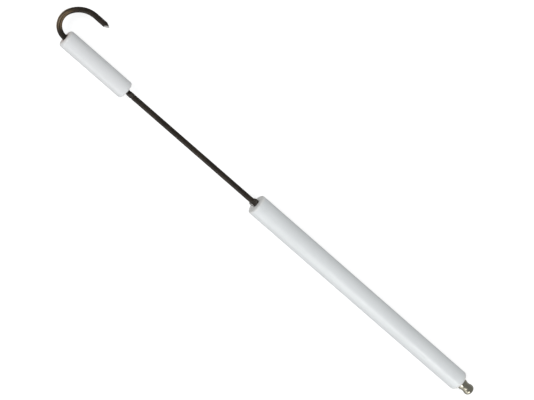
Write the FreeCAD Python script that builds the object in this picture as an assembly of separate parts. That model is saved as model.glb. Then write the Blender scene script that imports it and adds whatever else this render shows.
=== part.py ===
"""Flame sensor probe: a bent electrode rod carried in two ceramic insulators, with a lead terminal.

Millimetres. +X runs along the probe from the sensing hook to the lead terminal. The hook turns
towards +Y and lies in the XY plane, and +Z is up. The origin is on the probe's axis, halfway along
the long insulator, where the burner's holder grips it.

One STEP file is written for each piece: electrode_rod, front_insulator, long_insulator,
terminal_nut and terminal_cement.
"""
import FreeCAD, Part
import math
import os

# Electrode rod: one length of heat-resistant wire, bent into a hook at the flame end.
ROD_D = 3.0
HOOK_BEND_R = 7.8            # centreline radius of the tight bend beside the front insulator
HOOK_BEND_DEG = 118.0        # how far that bend turns before it opens out
HOOK_RETURN_R = 13.5         # centreline radius of the wider bend that brings the wire back
HOOK_LEG_L = 9.2             # straight leg after the bends, with its nipped tip
NIP_L = 2.5                  # length of the chisel that the side cutters leave
NIP_EDGE = 0.3               # width of the chisel's blunt edge

# Swages: two places where the rod is squeezed flat, so that its ears stop an insulator.
EAR_REACH = 1.6              # how far each ear stands out of the rod
EAR_L = 3.0                  # along the rod
EAR_CORNER_R = 1.0
EAR_T = 1.5                  # thickness left at the middle of the squeeze
EAR_BLANK_T = 2.3            # thickness at the ears' own edges
PUNCH_L = 4.6                # length of rod that the punches mark
HOT_EAR_DEG = 50.0           # turn of the ears about the rod, from +Y towards +Z
FRONT_EAR_DEG = 72.0

# Long insulator: the glazed tube that the burner's holder clamps.
LONG_D = 12.0
LONG_L = 163.0
LONG_BORE_GAP = 0.3          # air round the rod in its bore
LONG_HOT_ROUND = 0.9         # edge rounding at the flame end
LONG_TERMINAL_ROUND = 1.5    # edge rounding at the terminal end
BORE_CHAMFER = 0.3

# Front insulator: the loose bead between the hook and the first pair of ears.
FRONT_D = 10.0
FRONT_L = 42.5
FRONT_BORE_GAP = 0.35        # running room round the rod
FRONT_HOOK_ROUND = 1.6       # edge rounding beside the hook
FRONT_INNER_ROUND = 1.1      # edge rounding beside the ears
FRONT_EAR_PLAY = 1.8         # room between the bead and its ears
FRONT_HOOK_PLAY = 0.4        # room between the bead and the start of the bend

BARE_ROD_L = 95.0            # rod in view between the two insulators

# Terminal: the nut that the lead's push-on socket snaps over, and its cement.
NUT_FOOT_D = 6.2
NUT_NECK_DEPTH = 0.375       # depth of the waist below the foot
NUT_BULB_D = 6.3
NUT_REACH = 9.8              # how far the nut stands out of the insulator
NUT_FOOT_L = 3.0             # length of the foot outside the insulator
NUT_LAND_L = 0.8             # straight part at the bulb's widest place
NUT_NOSE_R = 2.0
NUT_SHANK_L = 5.0            # length of the nut set in the insulator
THREAD_L = 9.0               # rod screwed into the nut
THREAD_END_GAP = 0.5         # room past the rod's end in the nut's blind hole
CEMENT_WALL = 0.8            # cement between the nut's shank and its socket
CEMENT_BED = 1.5             # cement under the shank
CEMENT_BEAD_W = 0.6          # width of the cement that stands round the nut on the end face
CEMENT_BEAD_H = 1.0

# Places along the axis that several pieces share.
ROD_R = ROD_D / 2
EAR_W = ROD_D + 2 * EAR_REACH                        # across both ears
LONG_BORE_R = ROD_R + LONG_BORE_GAP
FRONT_BORE_R = ROD_R + FRONT_BORE_GAP
HOT_X = -LONG_L / 2                                  # flame end of the long insulator
TERMINAL_X = LONG_L / 2                              # terminal end of the long insulator
FRONT_INNER_X = HOT_X - BARE_ROD_L                   # end of the front insulator beside its ears
FRONT_HOOK_X = FRONT_INNER_X - FRONT_L               # end of the front insulator beside the hook
BEND_X = FRONT_HOOK_X - FRONT_HOOK_PLAY              # start of the hook's first bend
NUT_INNER_X = TERMINAL_X - NUT_SHANK_L
ROD_END_X = NUT_INNER_X + THREAD_L
SOCKET_X = NUT_INNER_X - CEMENT_BED                  # bottom of the socket in the long insulator
SOCKET_R = NUT_FOOT_D / 2 + CEMENT_WALL

CUT_SPARE = 1.0              # how far a cutting tool runs past what it cuts
X_AXIS = FreeCAD.Vector(1, 0, 0)
ORIGIN = FreeCAD.Vector(0, 0, 0)


def point(x, y, z=0.0):
    return FreeCAD.Vector(x, y, z)


def tube_along_x(start_x, end_x, radius):
    return Part.makeCylinder(radius, end_x - start_x, point(start_x, 0), X_AXIS)


def turned(edges):
    """Solid of revolution about the X axis from a closed outline in the XY plane."""
    face = Part.Face(Part.Wire(edges))
    return Part.makeSolid(face.revolve(ORIGIN, X_AXIS, 360).Shells[0])


def line(a, b):
    return Part.LineSegment(a, b).toShape()


def arc(a, middle, b):
    return Part.Arc(a, middle, b).toShape()


def polygon(points):
    return [line(a, b) for a, b in zip(points, points[1:] + points[:1])]


def rim_edges(solid, x, radius):
    """Circular edges of the given radius that lie in the plane at x."""
    found = []
    for edge in solid.Edges:
        circle = edge.Curve
        if not isinstance(circle, Part.Circle):
            continue
        if abs(circle.Center.x - x) < 1e-4 and abs(circle.Radius - radius) < 1e-4:
            found.append(edge)
    return found


def on_circle(centre, radius, degrees):
    angle = math.radians(degrees)
    return point(centre.x + radius * math.cos(angle), centre.y + radius * math.sin(angle))


def hook_path():
    """Rod's centreline from its threaded end to the tip: a line, two tangent arcs and a line."""
    start = point(ROD_END_X, 0)
    bend_start = point(BEND_X, 0)
    bend_centre = point(BEND_X, HOOK_BEND_R)
    meeting_deg = -90 - HOOK_BEND_DEG
    bend_middle = on_circle(bend_centre, HOOK_BEND_R, -90 - HOOK_BEND_DEG / 2)
    bend_end = on_circle(bend_centre, HOOK_BEND_R, meeting_deg)
    return_centre = on_circle(bend_centre, HOOK_BEND_R - HOOK_RETURN_R, meeting_deg)
    return_middle = on_circle(return_centre, HOOK_RETURN_R, (meeting_deg - 270) / 2)
    return_end = on_circle(return_centre, HOOK_RETURN_R, -270)
    tip = return_end + point(HOOK_LEG_L, 0)
    edges = [
        line(start, bend_start),
        arc(bend_start, bend_middle, bend_end),
        arc(bend_end, return_middle, return_end),
        line(return_end, tip),
    ]
    return Part.Wire(edges), tip


def nipped_tip_cutters(tip):
    """Two wedges that leave a chisel end, as side cutters do."""
    cutters = []
    beyond = ROD_R + CUT_SPARE
    for side in (1, -1):
        outline = [
            point(tip.x - NIP_L, tip.y + side * ROD_R, -beyond),
            point(tip.x, tip.y + side * NIP_EDGE / 2, -beyond),
            point(tip.x + CUT_SPARE, tip.y + side * NIP_EDGE / 2, -beyond),
            point(tip.x + CUT_SPARE, tip.y + side * beyond, -beyond),
            point(tip.x - NIP_L, tip.y + side * beyond, -beyond),
        ]
        face = Part.Face(Part.Wire(polygon(outline)))
        cutters.append(face.extrude(point(0, 0, 2 * beyond)))
    return cutters


def swage(start_x, degrees):
    """Ears and punch marks of one squeeze whose ears begin at start_x."""
    middle_x = start_x + EAR_L / 2
    depth = ROD_R - EAR_T / 2
    punch_r = ((PUNCH_L / 2) ** 2 + depth ** 2) / (2 * depth)
    ears = Part.makeBox(EAR_L, EAR_W, EAR_BLANK_T, point(start_x, -EAR_W / 2, -EAR_BLANK_T / 2))
    upright = [e for e in ears.Edges if abs(e.tangentAt(e.FirstParameter).z) > 0.99]
    ears = ears.makeFillet(EAR_CORNER_R, upright)
    punches = []
    for side in (1, -1):
        base = point(middle_x, -EAR_W, side * (EAR_T / 2 + punch_r))
        punches.append(Part.makeCylinder(punch_r, 2 * EAR_W, base, point(0, 1, 0)))
    for solid in [ears] + punches:
        solid.rotate(ORIGIN, X_AXIS, degrees)
    return ears, punches


def electrode_rod():
    path, tip = hook_path()
    section = Part.Wire([Part.Circle(point(ROD_END_X, 0), X_AXIS, ROD_R).toShape()])
    rod = path.makePipeShell([section], True, False)
    rod = rod.cut(nipped_tip_cutters(tip))
    front_ears, front_punches = swage(FRONT_INNER_X + FRONT_EAR_PLAY, FRONT_EAR_DEG)
    hot_ears, hot_punches = swage(HOT_X - EAR_L, HOT_EAR_DEG)
    rod = rod.fuse([front_ears, hot_ears])
    rod = rod.cut(front_punches + hot_punches)
    return rod.removeSplitter()


def insulator(start_x, end_x, radius, bore_radius, start_round, end_round):
    """Glazed tube with rounded ends and a lightly chamfered bore."""
    tube = tube_along_x(start_x, end_x, radius)
    tube = tube.makeFillet(start_round, rim_edges(tube, start_x, radius))
    tube = tube.makeFillet(end_round, rim_edges(tube, end_x, radius))
    tube = tube.cut(tube_along_x(start_x - CUT_SPARE, end_x + CUT_SPARE, bore_radius))
    return tube.makeChamfer(BORE_CHAMFER, rim_edges(tube, start_x, bore_radius))


def front_insulator():
    tube = insulator(FRONT_HOOK_X, FRONT_INNER_X, FRONT_D / 2, FRONT_BORE_R,
                     FRONT_HOOK_ROUND, FRONT_INNER_ROUND)
    return tube.makeChamfer(BORE_CHAMFER, rim_edges(tube, FRONT_INNER_X, FRONT_BORE_R))


def long_insulator():
    tube = insulator(HOT_X, TERMINAL_X, LONG_D / 2, LONG_BORE_R,
                     LONG_HOT_ROUND, LONG_TERMINAL_ROUND)
    return tube.cut(tube_along_x(SOCKET_X, TERMINAL_X + CUT_SPARE, SOCKET_R))


def terminal_nut():
    foot_r = NUT_FOOT_D / 2
    bulb_r = NUT_BULB_D / 2
    foot_x = TERMINAL_X + NUT_FOOT_L
    tip_x = TERMINAL_X + NUT_REACH
    nose_x = tip_x - NUT_NOSE_R
    land_x = nose_x - NUT_LAND_L
    neck_x = (foot_x + land_x) / 2
    nose_swing = NUT_NOSE_R * math.sqrt(0.5)
    hole_end_x = ROD_END_X + THREAD_END_GAP
    outline = [
        line(point(NUT_INNER_X, ROD_R), point(NUT_INNER_X, foot_r)),
        line(point(NUT_INNER_X, foot_r), point(foot_x, foot_r)),
        arc(point(foot_x, foot_r), point(neck_x, foot_r - NUT_NECK_DEPTH), point(land_x, bulb_r)),
        line(point(land_x, bulb_r), point(nose_x, bulb_r)),
        arc(point(nose_x, bulb_r),
            point(nose_x + nose_swing, bulb_r - NUT_NOSE_R + nose_swing),
            point(tip_x, bulb_r - NUT_NOSE_R)),
        line(point(tip_x, bulb_r - NUT_NOSE_R), point(tip_x, 0)),
        line(point(tip_x, 0), point(hole_end_x, 0)),
        line(point(hole_end_x, 0), point(hole_end_x, ROD_R)),
        line(point(hole_end_x, ROD_R), point(NUT_INNER_X, ROD_R)),
    ]
    return turned(outline)


def terminal_cement():
    foot_r = NUT_FOOT_D / 2
    return turned(polygon([
        point(SOCKET_X, ROD_R),
        point(SOCKET_X, SOCKET_R),
        point(TERMINAL_X, SOCKET_R),
        point(TERMINAL_X, SOCKET_R + CEMENT_BEAD_W),
        point(TERMINAL_X + CEMENT_BEAD_H, foot_r),
        point(NUT_INNER_X, foot_r),
        point(NUT_INNER_X, ROD_R),
    ]))


def main():
    pieces = {
        "electrode_rod": electrode_rod(),
        "front_insulator": front_insulator(),
        "long_insulator": long_insulator(),
        "terminal_nut": terminal_nut(),
        "terminal_cement": terminal_cement(),
    }
    os.makedirs("parts", exist_ok=True)
    for name, solid in pieces.items():
        solid.exportStep("parts/" + name + ".step")
        box = solid.BoundBox
        print(name, "solids", len(solid.Solids), "valid", solid.isValid(),
              "volume %.1f" % solid.Volume, "x %.2f to %.2f" % (box.XMin, box.XMax))


main()
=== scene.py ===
"""Flame sensor probe for a burner: wire electrode, two ceramic insulators and a lead terminal.

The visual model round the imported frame, laid out as a Blender add-on and run as a script.
Lengths are metres. +X runs from the hook to the terminal, the hook turns towards +Y, and +Z is up.
"""
import math

import bmesh
import bpy
from bpy.props import FloatProperty, FloatVectorProperty, PointerProperty
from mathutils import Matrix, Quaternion, Vector


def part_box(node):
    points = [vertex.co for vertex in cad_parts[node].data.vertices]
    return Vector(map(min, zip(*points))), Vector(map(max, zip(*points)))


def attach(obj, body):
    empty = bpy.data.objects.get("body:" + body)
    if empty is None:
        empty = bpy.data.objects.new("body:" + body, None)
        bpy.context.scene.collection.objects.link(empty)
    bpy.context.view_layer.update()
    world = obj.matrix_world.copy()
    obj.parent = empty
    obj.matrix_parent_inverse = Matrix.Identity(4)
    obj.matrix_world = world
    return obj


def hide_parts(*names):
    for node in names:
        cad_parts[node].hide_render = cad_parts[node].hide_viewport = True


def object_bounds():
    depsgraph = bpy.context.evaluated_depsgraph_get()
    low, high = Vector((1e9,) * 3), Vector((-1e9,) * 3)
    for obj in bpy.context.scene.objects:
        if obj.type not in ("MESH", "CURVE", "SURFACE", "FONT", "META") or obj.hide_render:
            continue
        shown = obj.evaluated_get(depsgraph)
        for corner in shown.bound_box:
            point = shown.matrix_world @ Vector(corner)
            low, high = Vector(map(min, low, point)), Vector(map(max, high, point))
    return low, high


bl_info = {
    "name": "Flame sensor probe",
    "version": (1, 0, 0),
    "blender": (4, 5, 0),
    "location": "View3D > Sidebar > Probe",
    "description": "Builds a hooked flame sensor probe with its ceramics and terminal",
    "category": "Object",
}

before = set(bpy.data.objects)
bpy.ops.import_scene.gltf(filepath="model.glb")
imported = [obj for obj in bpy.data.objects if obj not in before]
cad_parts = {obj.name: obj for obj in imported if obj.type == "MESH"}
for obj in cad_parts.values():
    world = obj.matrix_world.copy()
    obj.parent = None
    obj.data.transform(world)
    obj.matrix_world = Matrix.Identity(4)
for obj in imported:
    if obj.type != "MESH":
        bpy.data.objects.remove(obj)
CAD_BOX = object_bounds()
ROD_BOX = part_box("electrode_rod")
FRONT_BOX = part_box("front_insulator")
LONG_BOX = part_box("long_insulator")
NUT_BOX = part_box("terminal_nut")
CEMENT_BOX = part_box("terminal_cement")

MM = 0.001
ORIGIN = Vector((0.0, 0.0, 0.0))
CLOSE = 0.001 * MM                      # points nearer than this are one point
RING_REACH = 0.01 * MM                  # a ring's points are looked for this near its x

# How finely the pieces are divided.
ROD_SEGMENTS = 48
CERAMIC_SEGMENTS = 128
NUT_SEGMENTS = 96
ROD_PITCH = 6.0 * MM
TIGHT_BEND_STEPS = 30
WIDE_BEND_STEPS = 20
LEG_STEPS = 6
SQUEEZE_STEPS = 22
LIP_STEPS = 4
ROUND_STEPS = 10
FACE_PITCH = 0.8 * MM
WALL_PITCH = 2.5 * MM
BORE_PITCH = 6.0 * MM
FOOT_PITCH = 1.0 * MM
WAIST_STEPS = 18
NOSE_STEPS = 14
CEMENT_STEPS = 9

# Edges sharper than these angles, in degrees, stay sharp.
WIRE_CREASE = 38
CERAMIC_CREASE = 60
NUT_CREASE = 35
CEMENT_CREASE = 50

# Small shapes that no user would change.
NIP_SLANT = Vector((0.40, -0.61, 0.68)).normalized()    # the way the tip's slanted cut faces
EAR_FULLNESS = 3.2                      # how square the outline of an ear is
BORE_LIP = 0.3 * MM                     # rounding of a bore's mouth
HOLE_ROOM = 0.5 * MM                    # room past the wire's end in the terminal's hole
BULB_LEAD = 0.15 * MM                   # from the waist's curve to the bulb's full width
END_DIMPLE = ((0.0, 0.6), (0.12 * MM, 0.35), (0.2 * MM, 0.0))    # depth, share of end's radius
CEMENT_SINK = 0.15 * MM                 # how far the cement's ring is let into the ceramic
CEMENT_SLUMP = 0.9                      # under 1, the cement's ring swells outwards
FRONT_HOLLOWS = (0.06 * MM, 9.0 * MM)   # depth and grain of an uneven surface
LONG_HOLLOWS = (0.07 * MM, 14.0 * MM)
CEMENT_HOLLOWS = (0.12 * MM, 0.9 * MM)

# Tones inside a finish.
HEATED_BAND = (0.045, 0.030, 0.022)
SCALE_SPOT = (0.120, 0.098, 0.085)
FIRED_SPECK = (0.42, 0.37, 0.32)
CEMENT_GRIT = (0.35, 0.30, 0.24)

# Sockets of the colour Mix node, which shares their names with its other kinds.
MIX_FIRST, MIX_SECOND, MIX_RESULT = 6, 7, 2

CAMERA_AIM = Vector((-78.13, 5.57, 0.0)) * MM
SENSOR_WIDTH = 36.0
NEAREST_SEEN, FARTHEST_SEEN = 0.01, 20.0
FLOOR_WIDTH = 8.0

# Each soft box: its name, the setting of its power, its sides, its place, and whether it gleams.
SOFT_BOXES = (
    ("side_panel", "key_power", (2.6, 1.0), (0.30, -1.30, 0.47), True),
    ("high_fill", "fill_power", (1.0, 1.0), (0.45, 0.80, 1.15), False),
    ("hook_box", "hook_power", (0.50, 0.50), (-1.00, -0.20, 0.75), True),
    ("gleam_box", "gleam_power", (0.32, 0.26), (0.55, -0.56, 0.76), True),
)


# ---------------------------------------------------------------- what a user may change

def length(name, description, default):
    return FloatProperty(name=name, description=description, default=default,
                         min=0.0, precision=5, unit="LENGTH")


def colour(name, description, default):
    return FloatVectorProperty(name=name, description=description, default=default,
                               min=0.0, max=1.0, size=3, subtype="COLOR")


class ProbeSizes(bpy.types.PropertyGroup):
    """Sizes of the pieces, in metres"""
    rod_diameter: length("Rod diameter", "Thickness of the electrode wire", 3.0 * MM)
    bend_radius: length("Bend radius", "Centreline radius of the tight bend", 7.8 * MM)
    return_radius: length("Return radius", "Centreline radius of the wide bend", 13.5 * MM)
    bend_play: length("Bend play", "Gap between the front insulator and the bend", 0.4 * MM)
    leg_length: length("Leg length", "Straight wire after the hook's bends", 9.2 * MM)
    nip_length: length("Nip length", "Length of the chisel left by the side cutters", 2.5 * MM)
    nip_edge: length("Nip edge", "Width of the chisel's blunt edge", 0.3 * MM)
    ear_reach: length("Ear reach", "How far a squeezed ear stands out of the rod", 1.6 * MM)
    ear_length: length("Ear length", "Length of a squeezed ear along the rod", 3.0 * MM)
    ear_thickness: length("Ear thickness", "Metal left at the middle of a squeeze", 1.5 * MM)
    punch_length: length("Punch length", "Length of rod that the punches mark", 4.6 * MM)
    ear_play: length("Ear play", "Gap between the front insulator and its ears", 1.8 * MM)
    front_bore_gap: length("Front bore gap", "Running room round the rod", 0.35 * MM)
    long_bore_gap: length("Long bore gap", "Air round the rod in the long insulator", 0.3 * MM)
    front_hook_round: length("Front hook rounding", "Edge rounding beside the hook", 1.6 * MM)
    front_inner_round: length("Front inner rounding", "Edge rounding beside the ears", 1.1 * MM)
    long_hot_round: length("Long hot rounding", "Edge rounding at the flame end", 0.9 * MM)
    long_terminal_round: length("Long terminal rounding", "Edge rounding at the lead end",
                                1.5 * MM)
    socket_radius: length("Socket radius", "Radius of the cement socket", 3.9 * MM)
    nut_foot_diameter: length("Nut foot diameter", "Thickness of the terminal's foot", 6.2 * MM)
    nut_waist_depth: length("Waist depth", "Depth of the terminal's waist", 0.375 * MM)
    nut_foot_length: length("Foot length", "Length of the foot in view", 3.0 * MM)
    nut_land_length: length("Land length", "Straight part of the bulb", 0.8 * MM)
    nut_nose_radius: length("Nose radius", "Rounding of the bulb's end", 2.0 * MM)
    bend_turn: FloatProperty(name="Bend turn", description="How far the tight bend turns",
                             default=math.radians(118), subtype="ANGLE")
    hot_ear_turn: FloatProperty(name="Hot ear turn", description="Turn of the inner ears",
                                default=math.radians(50), subtype="ANGLE")
    front_ear_turn: FloatProperty(name="Front ear turn", description="Turn of the outer ears",
                                  default=math.radians(72), subtype="ANGLE")


class ProbeColours(bpy.types.PropertyGroup):
    """Base colours of the finishes"""
    oxide: colour("Oxide", "Oxide skin of the wire", (0.017, 0.0125, 0.0085))
    # The bend's golden colour: partly heat tint, partly painted sheen.
    tint_and_sheen: colour("Heat tint", "Golden tint where the bend was worked", (0.27, 0.185, 0.100))
    bare_metal: colour("Bare metal", "Freshly cut wire", (0.78, 0.76, 0.73))
    glaze: colour("Glaze", "Glazed ceramic", (0.80, 0.81, 0.815))
    tube_glaze: colour("Tube glaze", "Cooler glaze of the long insulator", (0.805, 0.828, 0.832))
    bisque: colour("Bisque", "Unglazed ceramic at the ends", (0.80, 0.795, 0.775))
    scorch: colour("Scorch", "Reddish stain round the hot hole", (0.66, 0.55, 0.51))
    cement_stain: colour("Cement stain", "Cream tint beside the cement", (0.78, 0.71, 0.57))
    nickel: colour("Nickel", "Plated terminal", (0.43, 0.405, 0.325))
    cement: colour("Cement", "Refractory cement", (0.82, 0.77, 0.65))
    floor: colour("Floor", "Pale floor", (0.50, 0.50, 0.50))


class ProbeStage(bpy.types.PropertyGroup):
    """Camera and light"""
    focal_length: FloatProperty(name="Focal length", description="Camera lens in millimetres",
                                default=121.35, min=1.0)
    camera_distance: length("Camera distance", "From the camera to what it aims at", 0.96845)
    azimuth: FloatProperty(name="Azimuth", description="Camera's turn round the probe",
                           default=math.radians(-88.44), subtype="ANGLE")
    elevation: FloatProperty(name="Elevation", description="Camera's height over the horizon",
                             default=math.radians(70.08), subtype="ANGLE")
    roll: FloatProperty(name="Roll", description="Camera's turn about its own line of sight",
                        default=math.radians(129.55), subtype="ANGLE")
    key_power: FloatProperty(name="Key power", description="Large low panel beside the probe",
                             default=9.9, min=0.0, unit="POWER")
    fill_power: FloatProperty(name="Fill power", description="Fill from the other side",
                              default=6.25, min=0.0, unit="POWER")
    hook_power: FloatProperty(name="Hook power", description="Box beyond the hook",
                              default=5.1, min=0.0, unit="POWER")
    gleam_power: FloatProperty(name="Gleam power", description="Small box that gleams on glaze",
                               default=1.7, min=0.0, unit="POWER")
    room_light: FloatProperty(name="Room light", description="Light of the room itself",
                              default=0.32, min=0.0)
    white_glow: FloatProperty(name="White glow", description="What whitens floor and backdrop",
                              default=0.72, min=0.0)


# ---------------------------------------------------------------- modelling helpers

def edit_ring(name, segments, radius, x):
    """Adds a circle round the X axis as a new piece and leaves it selected in edit mode."""
    bpy.ops.object.select_all(action="DESELECT")
    bpy.ops.mesh.primitive_circle_add(vertices=segments, radius=radius, fill_type="NOTHING",
                                      location=(x, 0, 0), rotation=(0, math.pi / 2, 0))
    piece = bpy.context.object
    piece.name = name
    piece.data.name = name
    bpy.ops.object.transform_apply(location=True, rotation=True, scale=True)
    bpy.ops.object.mode_set(mode="EDIT")
    bpy.ops.mesh.select_all(action="SELECT")
    return piece


def extrude_ring(step, growth=1.0, centre=ORIGIN):
    """Extrudes the selected ring along X by step and scales the new ring about the axis."""
    bpy.ops.mesh.extrude_region_move(TRANSFORM_OT_translate={"value": (step, 0, 0)})
    if abs(growth - 1.0) > 1e-9:
        bpy.ops.transform.resize(value=(1, growth, growth), center_override=centre)


def turned_piece(name, outline, segments):
    """A turned piece from an outline of (x, radius) places. An end on the axis is closed."""
    x, radius = outline[0]
    piece = edit_ring(name, segments, radius, x)
    for next_x, next_radius in outline[1:]:
        if next_radius <= 0:
            bpy.ops.mesh.extrude_region_move(
                TRANSFORM_OT_translate={"value": (next_x - x, 0, 0)})
            bpy.ops.mesh.merge(type="CENTER")
            break
        extrude_ring(next_x - x, next_radius / radius, (next_x, 0, 0))
        x, radius = next_x, next_radius
    bpy.ops.mesh.select_all(action="SELECT")
    bpy.ops.mesh.remove_doubles(threshold=CLOSE)
    bpy.ops.mesh.normals_make_consistent(inside=False)
    bpy.ops.object.mode_set(mode="OBJECT")
    return piece


def arc(centre_x, centre_r, radius, start_deg, end_deg, steps):
    """Places on an arc of an outline, both ends included. Degrees run from +X towards +radius."""
    places = []
    for step in range(steps + 1):
        angle = math.radians(start_deg + (end_deg - start_deg) * step / steps)
        places.append((centre_x + radius * math.cos(angle), centre_r + radius * math.sin(angle)))
    return places


def straight(start, end, pitch):
    """Places between two ends of a straight stretch, spaced by about pitch, ends left out."""
    count = max(1, round(math.dist(start, end) / pitch))
    return [tuple(a + (b - a) * step / count for a, b in zip(start, end))
            for step in range(1, count)]


def select_where(piece, test):
    """Selects, in edit mode, the vertices whose place passes the test."""
    mesh = bmesh.from_edit_mesh(piece.data)
    for item in list(mesh.faces) + list(mesh.edges) + list(mesh.verts):
        item.select = False
    for vertex in mesh.verts:
        vertex.select = test(vertex.co)
    mesh.select_flush(True)
    bmesh.update_edit_mesh(piece.data)


def select_only(piece):
    bpy.ops.object.select_all(action="DESELECT")
    bpy.context.view_layer.objects.active = piece
    piece.select_set(True)


def apply_all(piece):
    select_only(piece)
    for modifier in list(piece.modifiers):
        bpy.ops.object.modifier_apply(modifier=modifier.name)


def roughen(piece, depth, grain):
    """Presses soft, uneven hollows of at most that depth into the surface."""
    texture = bpy.data.textures.new(piece.name + "_unevenness", type="CLOUDS")
    texture.noise_scale = grain
    texture.noise_depth = 2
    hollows = piece.modifiers.new("unevenness", "DISPLACE")
    hollows.texture = texture
    hollows.texture_coords = "LOCAL"
    hollows.mid_level = 1.0
    hollows.strength = depth
    apply_all(piece)
    bpy.data.textures.remove(texture)


def smooth(piece, degrees):
    select_only(piece)
    bpy.ops.object.shade_smooth_by_angle(angle=math.radians(degrees))


def place(piece, body, node, slot, *materials):
    """Finishes a piece: materials, the body it rides on, and the node it stands for."""
    for material in materials:
        piece.data.materials.append(material)
    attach(piece, body)
    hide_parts(node)


# ---------------------------------------------------------------- shared effects

class Nodes:
    """A short way to place and join shader nodes in one tree."""

    def __init__(self, tree):
        self.tree = tree

    def add(self, kind, **settings):
        node = self.tree.nodes.new(kind)
        for name, value in settings.items():
            setattr(node, name, value)
        return node

    def join(self, source, target):
        self.tree.links.new(source, target)

    def maths(self, operation, first, second=None, clamp=False):
        node = self.add("ShaderNodeMath", operation=operation, use_clamp=clamp)
        for socket, value in zip(node.inputs, (first, second)):
            self.feed(socket, value)
        return node.outputs[0]

    def feed(self, socket, value):
        if value is None:
            return
        if isinstance(value, bpy.types.NodeSocket):
            self.join(value, socket)
        else:
            socket.default_value = value

    def noise(self, vector, scale, detail=3.0, roughness=0.5):
        node = self.add("ShaderNodeTexNoise")
        self.feed(node.inputs["Vector"], vector)
        node.inputs["Scale"].default_value = scale
        node.inputs["Detail"].default_value = detail
        node.inputs["Roughness"].default_value = roughness
        return node.outputs["Fac"]

    def stretch(self, vector, scale):
        node = self.add("ShaderNodeMapping")
        self.feed(node.inputs["Vector"], vector)
        node.inputs["Scale"].default_value = scale
        return node.outputs["Vector"]

    def ramp(self, value, low, high, start=0.0, end=1.0):
        """Eases from start to end as value goes from low to high."""
        node = self.add("ShaderNodeMapRange", interpolation_type="SMOOTHSTEP")
        self.feed(node.inputs["Value"], value)
        self.feed(node.inputs["From Min"], low)
        self.feed(node.inputs["From Max"], high)
        node.inputs["To Min"].default_value = start
        node.inputs["To Max"].default_value = end
        return node.outputs["Result"]

    def mix(self, share, first, second):
        node = self.add("ShaderNodeMix", data_type="RGBA")
        self.feed(node.inputs["Factor"], share)
        for number, tone in ((MIX_FIRST, first), (MIX_SECOND, second)):
            self.feed(node.inputs[number], (*tone, 1.0) if isinstance(tone, tuple) else tone)
        return node.outputs[MIX_RESULT]

    def bump(self, height, strength, distance):
        node = self.add("ShaderNodeBump")
        node.inputs["Strength"].default_value = strength
        node.inputs["Distance"].default_value = distance
        self.feed(node.inputs["Height"], height)
        return node.outputs["Normal"]


def shaded(tone, share):
    """A tone with that share of its brightness."""
    return tuple(share * channel for channel in tone)


def effect_group(name, inputs, outputs):
    """An empty node group with its named sockets, and its input and output nodes."""
    group = bpy.data.node_groups.new(name, "ShaderNodeTree")
    for socket_name, kind, default in inputs:
        socket = group.interface.new_socket(socket_name, in_out="INPUT", socket_type=kind)
        if default is not None:
            socket.default_value = default
    for socket_name, kind in outputs:
        group.interface.new_socket(socket_name, in_out="OUTPUT", socket_type=kind)
    nodes = Nodes(group)
    return group, nodes, nodes.add("NodeGroupInput"), nodes.add("NodeGroupOutput")


def specks_group():
    """Sparse fine specks: a mask of small dark spots and pits."""
    found = bpy.data.node_groups.get("fired_specks")
    if found:
        return found
    group, nodes, start, end = effect_group(
        "fired_specks",
        [("Vector", "NodeSocketVector", None), ("Scale", "NodeSocketFloat", 900.0),
         ("Rarity", "NodeSocketFloat", 0.72)],
        [("Mask", "NodeSocketFloat")])
    cells = nodes.add("ShaderNodeTexVoronoi", feature="F1")
    nodes.join(start.outputs["Vector"], cells.inputs["Vector"])
    nodes.join(start.outputs["Scale"], cells.inputs["Scale"])
    chosen = nodes.add("ShaderNodeSeparateColor")
    nodes.join(cells.outputs["Color"], chosen.inputs["Color"])
    present = nodes.maths("GREATER_THAN", chosen.outputs[0], start.outputs["Rarity"])
    fineness, raggedness = 5.0, 0.45
    ragged = nodes.noise(start.outputs["Vector"], 1.0, 3.0)
    nodes.join(nodes.maths("MULTIPLY", start.outputs["Scale"], fineness),
               ragged.node.inputs["Scale"])
    wander = nodes.maths("MULTIPLY", nodes.maths("SUBTRACT", ragged, 0.5), raggedness)
    rim = nodes.maths("ADD", cells.outputs["Distance"], wander)
    dot = nodes.ramp(rim, 0.06, 0.24, 1.0, 0.0)
    nodes.join(nodes.maths("MULTIPLY", present, dot), end.inputs["Mask"])
    return group


def streaks_group():
    """Fine lines drawn along X, as a die, a sleeve or handling leaves them."""
    found = bpy.data.node_groups.get("drawn_streaks")
    if found:
        return found
    group, nodes, start, end = effect_group(
        "drawn_streaks",
        [("Vector", "NodeSocketVector", None), ("Scale", "NodeSocketFloat", 1500.0),
         ("Stretch", "NodeSocketFloat", 0.04)],
        [("Fac", "NodeSocketFloat")])
    parts = nodes.add("ShaderNodeSeparateXYZ")
    nodes.join(start.outputs["Vector"], parts.inputs[0])
    along = nodes.maths("MULTIPLY", parts.outputs["X"], start.outputs["Stretch"])
    joined = nodes.add("ShaderNodeCombineXYZ")
    nodes.join(along, joined.inputs["X"])
    nodes.join(parts.outputs["Y"], joined.inputs["Y"])
    nodes.join(parts.outputs["Z"], joined.inputs["Z"])
    texture = nodes.add("ShaderNodeTexNoise")
    texture.inputs["Detail"].default_value = 4.0
    nodes.join(joined.outputs[0], texture.inputs["Vector"])
    nodes.join(start.outputs["Scale"], texture.inputs["Scale"])
    nodes.join(texture.outputs["Fac"], end.inputs["Fac"])
    return group


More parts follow.
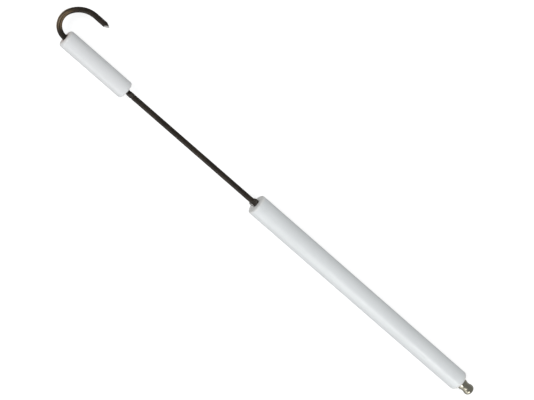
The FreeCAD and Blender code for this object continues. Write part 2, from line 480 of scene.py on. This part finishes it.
def handled_group():
    """Soft blotches of handling dirt and uneven gloss, at two sizes."""
    found = bpy.data.node_groups.get("handled_blotches")
    if found:
        return found
    group, nodes, start, end = effect_group(
        "handled_blotches",
        [("Vector", "NodeSocketVector", None), ("Scale", "NodeSocketFloat", 60.0)],
        [("Fac", "NodeSocketFloat")])
    broad = nodes.noise(start.outputs["Vector"], 1.0, 2.0)
    nodes.join(start.outputs["Scale"], broad.node.inputs["Scale"])
    fine = nodes.noise(start.outputs["Vector"], 1.0, 5.0, 0.62)
    nodes.join(nodes.maths("MULTIPLY", start.outputs["Scale"], 7.0), fine.node.inputs["Scale"])
    blend = nodes.maths("ADD", nodes.maths("MULTIPLY", broad, 0.6),
                        nodes.maths("MULTIPLY", fine, 0.4))
    nodes.join(nodes.ramp(blend, 0.38, 0.66), end.inputs["Fac"])
    return group


def new_material(name):
    material = bpy.data.materials.new(name)
    material.use_nodes = True
    nodes = Nodes(material.node_tree)
    surface = material.node_tree.nodes["Principled BSDF"]
    return material, nodes, surface


def place_group(nodes, group, vector, **values):
    node = nodes.add("ShaderNodeGroup", node_tree=group)
    nodes.join(vector, node.inputs["Vector"])
    for name, value in values.items():
        nodes.feed(node.inputs[name], value)
    return node.outputs[0]


# ---------------------------------------------------------------- materials

def ceramic_material(name, colours, glaze, ends, bare_width, stained_end, stain, reach):
    """Glazed white ceramic, bare at its two faces, with a stain round one end's hole.

    ends are the x places of the two faces, stained_end is one of them, and the stain fades out
    at a radius of reach.
    """
    material, nodes, surface = new_material(name)
    place_vector = nodes.add("ShaderNodeTexCoord").outputs["Object"]
    parts = nodes.add("ShaderNodeSeparateXYZ")
    nodes.join(place_vector, parts.inputs[0])
    blotches = place_group(nodes, handled_group(), place_vector, Scale=45.0)
    specks = place_group(nodes, specks_group(), place_vector, Scale=1300.0, Rarity=0.975)
    streaks = place_group(nodes, streaks_group(), place_vector, Scale=900.0, Stretch=0.03)

    # The glaze stops short of both faces, along a wandering edge.
    wobble = nodes.maths("MULTIPLY", nodes.maths("SUBTRACT", blotches, 0.5), bare_width)
    edge = nodes.maths("ADD", parts.outputs["X"], wobble)
    low = nodes.ramp(edge, ends[0] + 0.2 * bare_width, ends[0] + bare_width, 1.0, 0.0)
    high = nodes.ramp(edge, ends[1] - bare_width, ends[1] - 0.2 * bare_width, 0.0, 1.0)
    bare = nodes.maths("MAXIMUM", low, high)

    tone = nodes.mix(nodes.maths("MULTIPLY", blotches, 0.5), tuple(glaze),
                     shaded(glaze, 0.94))
    tone = nodes.mix(bare, tone, tuple(colours.bisque))
    # The stain lies round the hole of one face and fades along the outside.
    squared = nodes.maths("ADD", nodes.maths("POWER", parts.outputs["Y"], 2.0),
                          nodes.maths("POWER", parts.outputs["Z"], 2.0))
    radius = nodes.maths("SQRT", squared)
    ring = nodes.ramp(radius, 0.45 * reach, reach, 1.0, 0.1)
    depth = nodes.maths("ABSOLUTE", nodes.maths("SUBTRACT", parts.outputs["X"], stained_end))
    near = nodes.ramp(depth, 0.1 * reach, 0.5 * reach, 0.8, 0.0)
    tone = nodes.mix(nodes.maths("MULTIPLY", ring, near), tone, tuple(stain))
    tone = nodes.mix(nodes.maths("MULTIPLY", specks, 0.35), tone, FIRED_SPECK)
    nodes.join(tone, surface.inputs["Base Color"])

    gloss = nodes.ramp(blotches, 0.0, 1.0, 0.28, 0.38)
    gloss = nodes.maths("ADD", gloss, nodes.maths("MULTIPLY", bare, 0.28), clamp=True)
    nodes.join(gloss, surface.inputs["Roughness"])
    nodes.join(nodes.ramp(bare, 0.0, 1.0, 0.30, 0.0), surface.inputs["Coat Weight"])
    surface.inputs["Coat Roughness"].default_value = 0.22
    surface.inputs["IOR"].default_value = 1.52

    grain = nodes.noise(place_vector, 2600.0, 2.0)
    height = nodes.maths("ADD", nodes.maths("MULTIPLY", streaks, 0.5),
                         nodes.maths("MULTIPLY", grain, nodes.ramp(bare, 0.0, 1.0, 0.25, 1.6)))
    height = nodes.maths("SUBTRACT", height, nodes.maths("MULTIPLY", specks, 1.2))
    nodes.join(nodes.bump(height, 0.35, 0.03 * MM), surface.inputs["Normal"])
    return material


def oxide_material(colours):
    """Dark oxide skin of the wire: drawn lines, scale, and a golden tint on the worked bend that
    is partly heat tint and partly painted sheen.
    """
    material, nodes, surface = new_material("oxidised_wire")
    wire = nodes.add("ShaderNodeAttribute", attribute_name="wire").outputs["Vector"]
    parts = nodes.add("ShaderNodeSeparateXYZ")
    nodes.join(wire, parts.inputs[0])
    streaks = place_group(nodes, streaks_group(), wire, Scale=1700.0, Stretch=0.03)
    blotches = place_group(nodes, handled_group(), wire, Scale=110.0)
    scale = place_group(nodes, specks_group(), wire, Scale=2600.0, Rarity=0.55)
    bands = nodes.noise(nodes.stretch(wire, (1.0, 0.05, 0.05)), 420.0, 3.0)

    skin = nodes.mix(nodes.ramp(blotches, 0.0, 1.0, 0.0, 0.8), tuple(colours.oxide),
                     shaded(colours.oxide, 1.9))
    skin = nodes.mix(nodes.ramp(bands, 0.45, 0.65, 0.0, 0.45), skin, HEATED_BAND)
    # Golden lines run along the bend and fade towards the bead and over the top: partly heat tint,
    # partly painted sheen.
    near_bead = nodes.ramp(parts.outputs["X"], hook_place(0.27), hook_place(0.10), 1.0, 0.0)
    near_top = nodes.ramp(parts.outputs["X"], hook_place(0.66), hook_place(0.40), 0.0, 1.0)
    drawn = nodes.noise(nodes.stretch(wire, (0.02, 1.0, 1.0)), 1050.0, 2.0)
    tint = nodes.maths("MULTIPLY", nodes.maths("MULTIPLY", near_bead, near_top),
                       nodes.ramp(drawn, 0.45, 0.60, 0.04, 1.0))
    skin = nodes.mix(tint, skin, tuple(colours.tint_and_sheen))
    skin = nodes.mix(nodes.maths("MULTIPLY", scale, 0.7), skin, SCALE_SPOT)
    # The skin is chipped off the inner squeeze: off its ears' rims as wear, and most off its -Y
    # side, where the extra bare metal is a painted glint on the side the light falls on.
    rim = nodes.add("ShaderNodeAttribute", attribute_name="worn").outputs["Fac"]
    inner = nodes.ramp(parts.outputs["X"], LONG_BOX[0].x - 4.0 * MM, LONG_BOX[0].x - 3.0 * MM)
    # More bare metal on the -Y side: painted glints where the light falls.
    lit_side_glint = nodes.ramp(parts.outputs["Y"], -1.7 * MM, -1.0 * MM, 0.30, 0.0)
    wear_and_glint = nodes.maths("MAXIMUM", nodes.ramp(rim, 0.05, 0.60, 0.0, 0.20), lit_side_glint)
    wear_and_glint = nodes.maths("MULTIPLY", inner, wear_and_glint)
    chips = nodes.noise(wire, 1400.0, 4.0, 0.65)
    bare = nodes.ramp(nodes.maths("ADD", wear_and_glint, chips), 0.73, 0.83)
    bare = nodes.maths("MULTIPLY", bare, nodes.ramp(wear_and_glint, 0.02, 0.10))
    skin = nodes.mix(bare, skin, tuple(colours.bare_metal))
    nodes.join(skin, surface.inputs["Base Color"])
    nodes.join(nodes.ramp(bare, 0.0, 1.0, 0.25, 1.0), surface.inputs["Metallic"])

    gloss = nodes.ramp(streaks, 0.3, 0.7, 0.34, 0.55)
    gloss = nodes.maths("SUBTRACT", gloss, nodes.maths("MULTIPLY", tint, 0.18))
    gloss = nodes.maths("SUBTRACT", gloss, nodes.maths("MULTIPLY", bare, 0.15))
    nodes.join(gloss, surface.inputs["Roughness"])
    surface.inputs["Specular IOR Level"].default_value = 0.35
    height = nodes.maths("ADD", streaks, nodes.maths("MULTIPLY", scale, 0.6))
    nodes.join(nodes.bump(height, 0.5, 0.02 * MM), surface.inputs["Normal"])
    return material


def cut_metal_material(colours):
    """Bright sheared metal on the tip that the side cutters nipped."""
    material, nodes, surface = new_material("cut_wire_end")
    place_vector = nodes.add("ShaderNodeTexCoord").outputs["Object"]
    lines = nodes.noise(nodes.stretch(place_vector, (0.06, 0.06, 1.0)), 6500.0, 3.0)
    tone = nodes.mix(nodes.ramp(lines, 0.35, 0.7), tuple(colours.bare_metal),
                     shaded(colours.bare_metal, 0.55))
    nodes.join(tone, surface.inputs["Base Color"])
    surface.inputs["Metallic"].default_value = 0.8
    nodes.join(nodes.ramp(lines, 0.3, 0.7, 0.38, 0.52), surface.inputs["Roughness"])
    nodes.join(nodes.bump(lines, 0.6, 0.02 * MM), surface.inputs["Normal"])
    return material


def nickel_material(colours, waist_x, reach):
    """Nickel plate over turned steel, duller in the waist, and darker there as painted shade in
    its hollow.
    """
    material, nodes, surface = new_material("plated_terminal")
    place_vector = nodes.add("ShaderNodeTexCoord").outputs["Object"]
    parts = nodes.add("ShaderNodeSeparateXYZ")
    nodes.join(place_vector, parts.inputs[0])
    rings = nodes.noise(nodes.stretch(place_vector, (1.0, 0.02, 0.02)), 7000.0, 3.0)
    blotches = place_group(nodes, handled_group(), place_vector, Scale=260.0)
    from_waist = nodes.maths("ABSOLUTE", nodes.maths("SUBTRACT", parts.outputs["X"], waist_x))
    shaded_waist = nodes.ramp(from_waist, 0.2 * reach, reach, 1.0, 0.0)
    # The darker nickel in the waist, patchy with the blotches, is painted shade in its hollow.
    tone = nodes.mix(nodes.maths("MULTIPLY", shaded_waist, nodes.ramp(blotches, 0.0, 1.0, 0.3, 0.8)),
                     tuple(colours.nickel), shaded(colours.nickel, 0.84))
    nodes.join(tone, surface.inputs["Base Color"])
    surface.inputs["Metallic"].default_value = 1.0
    gloss = nodes.ramp(blotches, 0.0, 1.0, 0.16, 0.30)
    gloss = nodes.maths("ADD", gloss, nodes.maths("MULTIPLY", shaded_waist, 0.10))
    nodes.join(gloss, surface.inputs["Roughness"])
    nodes.join(nodes.bump(rings, 0.35, 0.01 * MM), surface.inputs["Normal"])
    return material


def cement_material(colours):
    """Cream refractory cement, grainy and matt."""
    material, nodes, surface = new_material("refractory_cement")
    place_vector = nodes.add("ShaderNodeTexCoord").outputs["Object"]
    grain = nodes.noise(place_vector, 3200.0, 4.0, 0.6)
    specks = place_group(nodes, specks_group(), place_vector, Scale=1600.0, Rarity=0.8)
    tone = nodes.mix(nodes.ramp(grain, 0.3, 0.7), tuple(colours.cement),
                     shaded(colours.cement, 0.82))
    tone = nodes.mix(nodes.maths("MULTIPLY", specks, 0.5), tone, CEMENT_GRIT)
    nodes.join(tone, surface.inputs["Base Color"])
    surface.inputs["Roughness"].default_value = 0.86
    nodes.join(nodes.bump(grain, 0.8, 0.05 * MM), surface.inputs["Normal"])
    return material


# ---------------------------------------------------------------- electrode rod

def bend_start_x():
    return FRONT_BOX[0].x - bpy.context.scene.probe_sizes.bend_play


def hook_lengths():
    """Wire lengths of the tight bend, the wide bend and the leg."""
    sizes = bpy.context.scene.probe_sizes
    return (sizes.bend_radius * sizes.bend_turn,
            sizes.return_radius * (math.pi - sizes.bend_turn),
            sizes.leg_length)


def hook_place(share):
    """Place along the unbent wire, as its x, of a share of the way round the hook's bends."""
    tight, wide, _leg = hook_lengths()
    return bend_start_x() - share * (tight + wide)


def bend_centres():
    """Centres of the tight bend and of the wide bend that follows it."""
    sizes = bpy.context.scene.probe_sizes
    tight_centre = Vector((bend_start_x(), sizes.bend_radius, 0))
    toward = Vector((-math.sin(sizes.bend_turn), -math.cos(sizes.bend_turn), 0))
    return tight_centre, tight_centre + toward * (sizes.bend_radius - sizes.return_radius)


def unbent(place_on_wire):
    """Where a point of the bent wire lay when the wire was still straight along X."""
    sizes = bpy.context.scene.probe_sizes
    tight, wide, _leg = hook_lengths()
    tight_centre, wide_centre = bend_centres()
    start_x = bend_start_x()
    turn, radius, wide_radius = sizes.bend_turn, sizes.bend_radius, sizes.return_radius
    x, y, z = place_on_wire
    if x >= start_x and y < radius:
        return Vector((x, y, z))
    outward = Vector((x, y, 0)) - tight_centre
    angle = math.atan2(-outward.x, -outward.y)
    if 0 <= angle <= turn:
        return Vector((start_x - radius * angle, radius - outward.length, z))
    outward = Vector((x, y, 0)) - wide_centre
    angle = math.atan2(-outward.x, -outward.y) % (2 * math.pi)
    if angle <= math.pi:
        return Vector((start_x - tight - wide_radius * (angle - turn),
                       wide_radius - outward.length, z))
    return Vector((start_x - tight - wide - (x - wide_centre.x),
                   wide_centre.y + wide_radius - y, z))


def swage_rings(start_x, sizes):
    """(x, growth across the ears, height of the punched flat) of each ring of a squeeze."""
    radius = sizes.rod_diameter / 2
    middle = start_x + sizes.ear_length / 2
    depth = radius - sizes.ear_thickness / 2
    half = sizes.punch_length / 2
    punch_radius = (half ** 2 + depth ** 2) / (2 * depth)
    rings = []
    for step in range(SQUEEZE_STEPS + 1):
        offset = half * (2 * step / SQUEEZE_STEPS - 1)
        hollow = math.sqrt(punch_radius ** 2 - offset ** 2) - (punch_radius - depth)
        share = abs(offset) / (sizes.ear_length / 2)
        swell = (1 - share ** EAR_FULLNESS) ** 0.5 if share < 1 else 0.0
        rings.append((middle + offset, 1 + swell * sizes.ear_reach / radius, radius - hollow))
    return rings


def squeeze(piece, rings, turn):
    """Squeezes the rings of the rod between two punches that stand at that turn about X."""
    bpy.ops.mesh.select_all(action="SELECT")
    turn_about_axis(-turn)
    for x, across, flat in rings:
        select_where(piece, lambda co: abs(co.x - x) < RING_REACH)
        bpy.ops.transform.resize(value=(1, across, 1), center_override=(x, 0, 0))
        for side in (1, -1):
            select_where(piece, lambda co: abs(co.x - x) < RING_REACH and side * co.z > flat)
            bpy.ops.transform.resize(value=(1, 1, 0), center_override=(x, 0, side * flat))
    bpy.ops.mesh.select_all(action="SELECT")
    turn_about_axis(turn)


def turn_about_axis(angle):
    """Turns the selection about the X axis, from +Y towards +Z. Without a window, Blender's
    rotate operator runs the other way."""
    sign = -1 if bpy.app.background else 1
    bpy.ops.transform.rotate(value=sign * angle, orient_axis="X", orient_type="GLOBAL",
                             center_override=(0, 0, 0))


def make_electrode_rod(sizes, colours):
    radius = sizes.rod_diameter / 2
    piece = edit_ring("electrode_wire", ROD_SEGMENTS, radius, ROD_BOX[1].x)
    hot_rings = swage_rings(LONG_BOX[0].x - sizes.ear_length, sizes)
    front_rings = swage_rings(FRONT_BOX[1].x + sizes.ear_play, sizes)
    x = ROD_BOX[1].x
    ring_places = [ring[0] for ring in reversed(front_rings + hot_rings)]
    stops = [x] + ring_places + [bend_start_x()]
    for start, end in zip(stops, stops[1:]):
        inner = straight((start, 0.0), (end, 0.0), ROD_PITCH)
        for next_x in [place_x for place_x, _ in inner] + [end]:
            extrude_ring(next_x - x)
            x = next_x
    tight_centre, wide_centre = bend_centres()
    bpy.ops.mesh.spin(steps=TIGHT_BEND_STEPS, angle=sizes.bend_turn, center=tight_centre,
                      axis=(0, 0, 1))
    bpy.ops.mesh.spin(steps=WIDE_BEND_STEPS, angle=math.pi - sizes.bend_turn,
                      center=wide_centre, axis=(0, 0, 1))
    for _step in range(LEG_STEPS):
        extrude_ring(sizes.leg_length / LEG_STEPS)
    bpy.ops.mesh.edge_face_add()
    squeeze(piece, hot_rings, sizes.hot_ear_turn)
    squeeze(piece, front_rings, sizes.front_ear_turn)
    select_where(piece, lambda co: abs(co.x - ROD_BOX[1].x) < RING_REACH)
    bpy.ops.mesh.edge_face_add()
    nip_tip(piece, sizes, wide_centre)
    bpy.ops.mesh.select_all(action="SELECT")
    bpy.ops.mesh.remove_doubles(threshold=CLOSE)
    bpy.ops.mesh.normals_make_consistent(inside=False)
    bpy.ops.object.mode_set(mode="OBJECT")
    stored = piece.data.attributes
    stored.new("wire", "FLOAT_VECTOR", "POINT")
    stored.new("worn", "FLOAT", "POINT")
    for vertex, unrolled, rim in zip(piece.data.vertices, stored["wire"].data,
                                     stored["worn"].data):
        unrolled.vector = unbent(vertex.co)
        beyond = math.hypot(unrolled.vector.y, unrolled.vector.z) - radius
        rim.value = min(1.0, max(0.0, beyond / sizes.ear_reach))
    smooth(piece, WIRE_CREASE)
    place(piece, "probe", "electrode_rod", "oxidised_rod",
          oxide_material(colours), cut_metal_material(colours))
    mark_cut_facets(piece, sizes, wide_centre)


def nip_tip(piece, sizes, wide_centre):
    """Cuts the leg's end to a blunt chisel, and slants the chisel's upper corner."""
    leg_y = wide_centre.y + sizes.return_radius
    tip_x = wide_centre.x + sizes.leg_length
    radius = sizes.rod_diameter / 2
    rise = radius - sizes.nip_edge / 2
    tip = Vector((tip_x, leg_y, 0))
    cuts = [(tip + Vector((0, side * sizes.nip_edge / 2, 0)),
             Vector((rise, side * sizes.nip_length, 0)).normalized()) for side in (1, -1)]
    cuts.append((tip + sizes.nip_edge * NIP_SLANT, NIP_SLANT))
    for through, facing in cuts:
        select_where(piece, lambda co: co.x > wide_centre.x and co.y > leg_y - 2 * radius)
        bpy.ops.mesh.bisect(plane_co=through, plane_no=facing, use_fill=True,
                            clear_outer=True, threshold=CLOSE)


def mark_cut_facets(piece, sizes, wide_centre):
    """Gives the nipped facets and the blunt edge the cut metal."""
    tip_x = wide_centre.x + sizes.leg_length
    for face in piece.data.polygons:
        near = face.center.x > tip_x - sizes.nip_length and face.center.y > wide_centre.y
        if near and face.normal.x > 0.2:
            face.material_index = 1


# ---------------------------------------------------------------- insulators

def tube_outline(box, bore_radius, start_round, end_round):
    """Closed outline of a rounded ceramic tube, from its bore round the outside and back."""
    start_x, end_x, radius = box[0].x, box[1].x, box[1].z
    lip, lip_radius = BORE_LIP, bore_radius + BORE_LIP
    outline = [(start_x + lip, bore_radius)]
    outline += arc(start_x + lip, lip_radius, lip, 270, 180, LIP_STEPS)[1:]
    outline += straight(outline[-1], (start_x, radius - start_round), FACE_PITCH)
    outline += arc(start_x + start_round, radius - start_round, start_round, 180, 90,
                   ROUND_STEPS)
    outline += straight(outline[-1], (end_x - end_round, radius), WALL_PITCH)
    outline += arc(end_x - end_round, radius - end_round, end_round, 90, 0, ROUND_STEPS)
    outline += straight(outline[-1], (end_x, lip_radius), FACE_PITCH)
    outline += arc(end_x - lip, lip_radius, lip, 0, -90, LIP_STEPS)
    outline += straight(outline[-1], outline[0], BORE_PITCH)
    outline.append(outline[0])
    return outline


def make_front_insulator(sizes, colours):
    outline = tube_outline(FRONT_BOX, sizes.rod_diameter / 2 + sizes.front_bore_gap,
                           sizes.front_hook_round, sizes.front_inner_round)
    piece = turned_piece("front_bead", outline, CERAMIC_SEGMENTS)
    roughen(piece, *FRONT_HOLLOWS)
    smooth(piece, CERAMIC_CREASE)
    ends = (FRONT_BOX[0].x, FRONT_BOX[1].x)
    place(piece, "front_bead", "front_insulator", "front_ceramic",
          ceramic_material("front_ceramic", colours, colours.glaze, ends, 1.0 * MM, ends[0],
                           colours.scorch, 4.4 * MM))


def make_long_insulator(sizes, colours):
    end_x = LONG_BOX[1].x
    bore_radius = sizes.rod_diameter / 2 + sizes.long_bore_gap
    outline = tube_outline(LONG_BOX, bore_radius, sizes.long_hot_round, sizes.long_terminal_round)
    # The outline leaves the end face at the socket's wall and goes round the socket instead.
    rim = next(number for number, (x, radius) in enumerate(outline)
               if x == end_x and radius < sizes.socket_radius)
    socket_x = CEMENT_BOX[0].x
    outline = outline[:rim]
    outline += [(end_x, sizes.socket_radius), (socket_x, sizes.socket_radius),
                (socket_x, bore_radius)]
    outline += straight(outline[-1], outline[0], BORE_PITCH)
    outline.append(outline[0])
    piece = turned_piece("long_tube", outline, CERAMIC_SEGMENTS)
    roughen(piece, *LONG_HOLLOWS)
    smooth(piece, CERAMIC_CREASE)
    place(piece, "probe", "long_insulator", "glazed_ceramic",
          ceramic_material("long_ceramic", colours, colours.tube_glaze, (LONG_BOX[0].x, end_x),
                           1.4 * MM, end_x, colours.cement_stain, 6.5 * MM))


# ---------------------------------------------------------------- terminal

def make_terminal(sizes, colours):
    rod_radius = sizes.rod_diameter / 2
    foot_radius = sizes.nut_foot_diameter / 2
    bulb_radius = NUT_BOX[1].z
    inner_x, tip_x = NUT_BOX[0].x, NUT_BOX[1].x
    foot_x = LONG_BOX[1].x + sizes.nut_foot_length
    nose_x = tip_x - sizes.nut_nose_radius
    land_x = nose_x - sizes.nut_land_length
    hole_x = ROD_BOX[1].x + HOLE_ROOM
    half = (land_x - foot_x) / 2
    waist_x = foot_x + half
    waist_drop = sizes.nut_waist_depth
    waist_radius = (half ** 2 + waist_drop ** 2) / (2 * waist_drop)
    sweep = math.degrees(math.asin(half / waist_radius))
    outline = [(hole_x, rod_radius), (inner_x, rod_radius), (inner_x, foot_radius)]
    outline += straight(outline[-1], (foot_x, foot_radius), FOOT_PITCH)
    outline += arc(waist_x, foot_radius + waist_radius - waist_drop, waist_radius,
                   270 - sweep, 270 + sweep, WAIST_STEPS)
    outline += [(land_x + BULB_LEAD, bulb_radius), (nose_x, bulb_radius)]
    end_radius = bulb_radius - sizes.nut_nose_radius
    outline += arc(nose_x, end_radius, sizes.nut_nose_radius, 90, 0, NOSE_STEPS)
    outline += [(tip_x - depth, share * end_radius) for depth, share in END_DIMPLE]
    piece = turned_piece("lead_terminal", outline, NUT_SEGMENTS)
    bpy.ops.object.mode_set(mode="EDIT")
    select_where(piece, lambda co: abs(co.x - hole_x) < RING_REACH)
    bpy.ops.mesh.edge_face_add()
    bpy.ops.mesh.select_all(action="SELECT")
    bpy.ops.mesh.normals_make_consistent(inside=False)
    bpy.ops.object.mode_set(mode="OBJECT")
    smooth(piece, NUT_CREASE)
    place(piece, "probe", "terminal_nut", "plated_terminal",
          nickel_material(colours, waist_x, half))


def make_cement(sizes, colours):
    rod_radius = sizes.rod_diameter / 2
    foot_radius = sizes.nut_foot_diameter / 2
    start_x, top_x = CEMENT_BOX[0].x, CEMENT_BOX[1].x
    face_x, outer = LONG_BOX[1].x, CEMENT_BOX[1].z
    shank_x = NUT_BOX[0].x
    outline = [(start_x, rod_radius), (start_x, sizes.socket_radius)]
    outline += [(face_x - CEMENT_SINK, sizes.socket_radius), (face_x - CEMENT_SINK, outer)]
    rise, run = top_x - face_x, outer - foot_radius
    for step in range(1, CEMENT_STEPS):
        angle = math.pi / 2 * step / CEMENT_STEPS
        outline.append((face_x + rise * (1 - math.cos(angle)) ** CEMENT_SLUMP,
                        outer - run * math.sin(angle)))
    outline += [(top_x, foot_radius), (shank_x, foot_radius), (shank_x, rod_radius)]
    outline.append(outline[0])
    piece = turned_piece("cement_bed", outline, NUT_SEGMENTS)
    roughen(piece, *CEMENT_HOLLOWS)
    smooth(piece, CEMENT_CREASE)
    place(piece, "probe", "terminal_cement", "cement", cement_material(colours))


# ---------------------------------------------------------------- stage

def area_light(name, power, size, location, gleams):
    """A soft box that faces the probe. One that doesn't gleam gives no highlights."""
    bpy.ops.object.light_add(type="AREA", location=location)
    light = bpy.context.object
    light.name = name
    light.data.shape = "RECTANGLE"
    light.data.size, light.data.size_y = size
    light.data.energy = power
    light.rotation_euler = (-light.location).to_track_quat("-Z", "Y").to_euler()
    light.visible_glossy = gleams
    light.visible_camera = False


def make_camera(stage):
    flat = math.cos(stage.elevation)
    back = Vector((math.sin(stage.azimuth) * flat, -math.cos(stage.azimuth) * flat,
                   math.sin(stage.elevation)))
    bpy.ops.object.camera_add(location=CAMERA_AIM + back * stage.camera_distance)
    camera = bpy.context.object
    camera.name = "camera"
    camera.rotation_mode = "QUATERNION"
    camera.rotation_quaternion = ((-back).to_track_quat("-Z", "Y")
                                  @ Quaternion((0, 0, 1), stage.roll))
    camera.data.lens = stage.focal_length
    camera.data.sensor_width = SENSOR_WIDTH
    camera.data.clip_start = NEAREST_SEEN
    camera.data.clip_end = FARTHEST_SEEN
    bpy.context.scene.camera = camera


def make_floor(stage, colours):
    """A pale floor under the probe that shows white and gives only its own shade back."""
    bpy.ops.mesh.primitive_plane_add(size=FLOOR_WIDTH, location=(0, 0, CAD_BOX[0].z))
    floor = bpy.context.object
    floor.name = "floor"
    material, nodes, surface = new_material("pale_floor")
    place_vector = nodes.add("ShaderNodeTexCoord").outputs["Object"]
    tone = nodes.mix(nodes.noise(place_vector, 3.0, 2.0), tuple(colours.floor),
                     shaded(colours.floor, 0.97))
    nodes.join(tone, surface.inputs["Base Color"])
    surface.inputs["Roughness"].default_value = 0.9
    surface.inputs["Specular IOR Level"].default_value = 0.1
    surface.inputs["Emission Color"].default_value = (1.0, 1.0, 1.0, 1.0)
    seen = nodes.add("ShaderNodeLightPath").outputs["Is Camera Ray"]
    glow = nodes.maths("MULTIPLY", seen, stage.white_glow)
    nodes.join(glow, surface.inputs["Emission Strength"])
    floor.data.materials.append(material)


def make_room(stage):
    """An even room that shows white where the floor ends."""
    world = bpy.data.worlds.new("studio")
    world.use_nodes = True
    nodes = Nodes(world.node_tree)
    room = world.node_tree.nodes["Background"]
    room.inputs["Color"].default_value = (0.95, 0.98, 1.0, 1.0)
    seen = nodes.add("ShaderNodeLightPath").outputs["Is Camera Ray"]
    glow = nodes.maths("MULTIPLY", seen, stage.white_glow)
    nodes.join(nodes.maths("ADD", glow, stage.room_light), room.inputs["Strength"])
    bpy.context.scene.world = world


# ---------------------------------------------------------------- operators

class PROBE_OT_electrode_rod(bpy.types.Operator):
    """Model the bent electrode wire with its squeezed ears and nipped tip"""
    bl_idname = "probe.electrode_rod"
    bl_label = "Electrode rod"
    bl_options = {"REGISTER", "UNDO"}

    def execute(self, context):
        make_electrode_rod(context.scene.probe_sizes, context.scene.probe_colours)
        return {"FINISHED"}


class PROBE_OT_insulators(bpy.types.Operator):
    """Model the long insulator and the loose front insulator"""
    bl_idname = "probe.insulators"
    bl_label = "Insulators"
    bl_options = {"REGISTER", "UNDO"}

    def execute(self, context):
        make_long_insulator(context.scene.probe_sizes, context.scene.probe_colours)
        make_front_insulator(context.scene.probe_sizes, context.scene.probe_colours)
        return {"FINISHED"}


class PROBE_OT_terminal(bpy.types.Operator):
    """Model the plated lead terminal"""
    bl_idname = "probe.terminal"
    bl_label = "Lead terminal"
    bl_options = {"REGISTER", "UNDO"}

    def execute(self, context):
        make_terminal(context.scene.probe_sizes, context.scene.probe_colours)
        return {"FINISHED"}


class PROBE_OT_cement(bpy.types.Operator):
    """Model the cement that beds the terminal in the long insulator"""
    bl_idname = "probe.cement"
    bl_label = "Cement"
    bl_options = {"REGISTER", "UNDO"}

    def execute(self, context):
        make_cement(context.scene.probe_sizes, context.scene.probe_colours)
        return {"FINISHED"}


class PROBE_OT_stage(bpy.types.Operator):
    """Set the pale floor, the soft studio light and the camera"""
    bl_idname = "probe.stage"
    bl_label = "Stage"
    bl_options = {"REGISTER", "UNDO"}

    def execute(self, context):
        stage = context.scene.probe_stage
        make_camera(stage)
        make_floor(stage, context.scene.probe_colours)
        make_room(stage)
        for name, power, sides, location, gleams in SOFT_BOXES:
            area_light(name, getattr(stage, power), sides, location, gleams)
        context.scene.view_settings.view_transform = "Standard"
        return {"FINISHED"}


class PROBE_PT_panel(bpy.types.Panel):
    """Lists the probe's pieces in the sidebar"""
    bl_idname = "PROBE_PT_panel"
    bl_label = "Flame sensor probe"
    bl_space_type = "VIEW_3D"
    bl_region_type = "UI"
    bl_category = "Probe"

    def draw(self, context):
        for operator in OPERATORS:
            self.layout.operator(operator.bl_idname)
        for group in ("probe_sizes", "probe_colours", "probe_stage"):
            settings = getattr(context.scene, group)
            column = self.layout.column(align=True)
            for name in settings.bl_rna.properties.keys():
                if name not in {"rna_type", "name"}:
                    column.prop(settings, name)


GROUPS = {"probe_sizes": ProbeSizes, "probe_colours": ProbeColours, "probe_stage": ProbeStage}
OPERATORS = (PROBE_OT_electrode_rod, PROBE_OT_insulators, PROBE_OT_terminal, PROBE_OT_cement,
             PROBE_OT_stage)


def register():
    for name, group in GROUPS.items():
        bpy.utils.register_class(group)
        setattr(bpy.types.Scene, name, PointerProperty(type=group))
    for item in OPERATORS + (PROBE_PT_panel,):
        bpy.utils.register_class(item)


def unregister():
    for item in (PROBE_PT_panel,) + OPERATORS:
        bpy.utils.unregister_class(item)
    for name, group in GROUPS.items():
        delattr(bpy.types.Scene, name)
        bpy.utils.unregister_class(group)


def main():
    register()
    bpy.ops.probe.electrode_rod()
    bpy.ops.probe.insulators()
    bpy.ops.probe.terminal()
    bpy.ops.probe.cement()
    bpy.ops.probe.stage()


if __name__ == "__main__":
    main()
